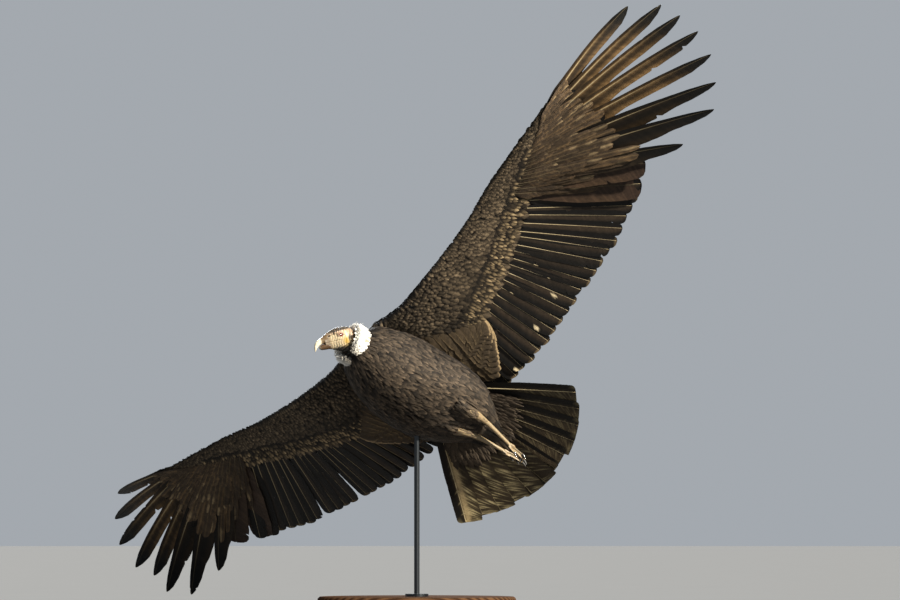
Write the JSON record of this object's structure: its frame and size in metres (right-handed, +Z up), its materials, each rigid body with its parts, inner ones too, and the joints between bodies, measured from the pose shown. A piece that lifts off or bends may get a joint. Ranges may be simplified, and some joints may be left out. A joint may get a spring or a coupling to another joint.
{
  "type": "andean condor",
  "caption": "Adult hen Andean condor soaring in a banked turn, wings spread and fingers parted, head turned level, as a still life-size model on a round base with one rod.",
  "frame": {"origin": "centre of the underside of the stand's base, on the floor", "axes": "+Z up; +X to the right and +Y away as the bird is seen from its front left with its head at the left"},
  "size_m": [1.8043, 1.48, 1.7093],
  "materials": {
    "plumage": "barbed vanes, satin with a faint bronze gloss",
    "down": "soft white down in flat locks",
    "skin": "bare folded skin",
    "horn": "ivory horn, greyer at its base",
    "iris": "clear wet eye, red iris",
    "scutes": "pale scaled skin",
    "claw": "dark horn",
    "walnut": "oiled walnut",
    "steel": "dark satin coat on steel"
  },
  "bodies": {
    "root": {"torso": "plumage", "wing_left": "plumage", "wing_right": "plumage", "tail": "plumage", "neck": "skin", "ruff": "down", "head": "skin", "bill_upper": "horn", "bill_lower": "horn", "eye_left": "iris", "eye_right": "iris", "leg_left": "scutes", "leg_right": "scutes", "foot_left": "scutes", "foot_right": "scutes", "claw_left_1": "claw", "claw_left_2": "claw", "claw_left_3": "claw", "claw_left_4": "claw", "claw_right_1": "claw", "claw_right_2": "claw", "claw_right_3": "claw", "claw_right_4": "claw", "stand_base": "walnut", "stand_flange": "steel", "stand_rod": "steel"}
  },
  "joints": []
}
